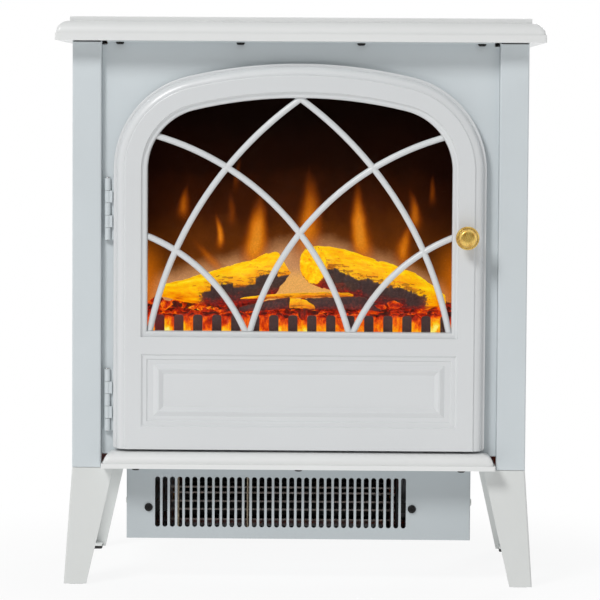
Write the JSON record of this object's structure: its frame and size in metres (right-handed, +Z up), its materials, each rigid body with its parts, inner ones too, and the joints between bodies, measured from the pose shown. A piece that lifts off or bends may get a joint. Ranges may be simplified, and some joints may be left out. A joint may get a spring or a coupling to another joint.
{
  "type": "electric fireplace",
  "caption": "Free-standing electric stove with a moulded arched door, gothic tracery over a lit log fire, splayed legs and a slotted fan-heater outlet under the cabinet.",
  "frame": {"origin": "on the floor, under the middle of the whole stove's box", "axes": "+X to the stove's right as seen from the front, +Y to its back, +Z up; the door faces -Y"},
  "size_m": [0.47, 0.282, 0.55],
  "materials": {
    "satin_enamel": "satin white lacquer on a moulding",
    "sheet_white": "fine-textured cool white powder coat",
    "leg_white": "satin white powder coat",
    "moulded_white": "semi-gloss white, moulded",
    "brass": "polished and lacquered",
    "window_glass": "clear toughened glass",
    "screen_acrylic": "frosted smoky acrylic",
    "black_steel": "black oxide",
    "zinc_steel": "zinc plated",
    "bright_steel": "ground",
    "liner_black": "matt black, inside the fire box",
    "reflector": "bright rolled foil and sheet",
    "mica": "mica board",
    "nichrome": "oxidised heating wire",
    "motor_steel": "laminated motor iron",
    "black_plastic": "fine satin",
    "red_plastic": "gloss",
    "white_plastic": "satin",
    "rubber": "soft, dark",
    "bronze_bush": "sintered bronze",
    "ember_resin": "translucent cast resin, painted as embers",
    "log_resin": "cast resin, painted as burning wood",
    "grate_brown": "dark brown",
    "bulb_glass": "clear bulb"
  },
  "bodies": {
    "cabinet": {"mantel_top": "satin_enamel", "hearth_ledge": "satin_enamel", "side_panel_left": "sheet_white", "side_panel_right": "sheet_white", "front_panel": "sheet_white", "back_panel": "sheet_white", "base_plate": "sheet_white", "leg_front_left": "leg_white", "leg_front_right": "leg_white", "leg_rear_left": "leg_white", "leg_rear_right": "leg_white", "foot_pads": "rubber", "heater_housing": "sheet_white", "element_frame": "black_steel", "mica_supports": "mica", "heating_wires": "nichrome", "blower_scroll": "liner_black", "blower_motor": "motor_steel", "bearing_bushes": "bronze_bush", "thermal_cutout": "black_plastic", "firebox_shelf": "liner_black", "firebox_liner": "liner_black", "flame_screen": "screen_acrylic", "flame_cutout_sheet": "reflector", "spindle_motor": "motor_steel", "lamp_holders": "white_plastic", "lamp_bulbs": "bulb_glass", "ember_bed": "ember_resin", "ember_grate": "grate_brown", "log_left": "log_resin", "log_right": "log_resin", "log_front": "log_resin", "control_plate": "sheet_white", "switch_bodies": "black_plastic", "thermostat_body": "black_plastic", "cord_gland": "black_plastic", "magnet_catch": "white_plastic", "hinge_frame_leaves": "sheet_white", "hinge_pins": "bright_steel", "hinge_frame_rivets": "sheet_white", "black_screws": "black_steel", "cabinet_screws": "zinc_steel", "control_screws": "zinc_steel"},
    "door": {"door_frame": "moulded_white", "window_tracery": "moulded_white", "window_glass": "window_glass", "glass_clips": "zinc_steel", "door_knob": "brass", "knob_screw": "zinc_steel", "strike_plate": "zinc_steel", "hinge_door_leaves": "sheet_white", "hinge_door_screws": "zinc_steel"},
    "flame_switch": {"rocker_flame": "red_plastic"},
    "low_heat_switch": {"rocker_low_heat": "black_plastic"},
    "high_heat_switch": {"rocker_high_heat": "black_plastic"},
    "thermostat": {"thermostat_dial": "black_plastic"},
    "blower": {"blower_rotor": "black_plastic", "blower_shaft": "bright_steel"},
    "flame_spindle": {"spindle_shaft": "bright_steel", "spindle_reflectors": "reflector"}
  },
  "joints": [
    {"name": "door_swing", "type": "hinge", "parent": "cabinet", "child": "door", "pos_m": [-0.186, -0.103, 0.32], "axis": [0, 0, -1], "range_deg": [0, 100]},
    {"name": "flame_switch_rock", "type": "hinge", "parent": "cabinet", "child": "flame_switch", "pos_m": [-0.06, -0.0985, 0.19], "axis": [1, 0, 0], "range_deg": [0, 14]},
    {"name": "low_heat_switch_rock", "type": "hinge", "parent": "cabinet", "child": "low_heat_switch", "pos_m": [-0.034, -0.0985, 0.19], "axis": [1, 0, 0], "range_deg": [-14, 0]},
    {"name": "high_heat_switch_rock", "type": "hinge", "parent": "cabinet", "child": "high_heat_switch", "pos_m": [-0.008, -0.0985, 0.19], "axis": [1, 0, 0], "range_deg": [-14, 0]},
    {"name": "thermostat_turn", "type": "hinge", "parent": "cabinet", "child": "thermostat", "pos_m": [0.044, -0.104, 0.19], "axis": [0, 1, 0], "range_deg": [0, 270]},
    {"name": "blower_spin", "type": "hinge", "parent": "cabinet", "child": "blower", "pos_m": [0, -0.026, 0.078], "axis": [1, 0, 0], "continuous": true},
    {"name": "spindle_spin", "type": "hinge", "parent": "cabinet", "child": "flame_spindle", "pos_m": [0, 0.042, 0.292], "axis": [1, 0, 0], "continuous": true}
  ]
}
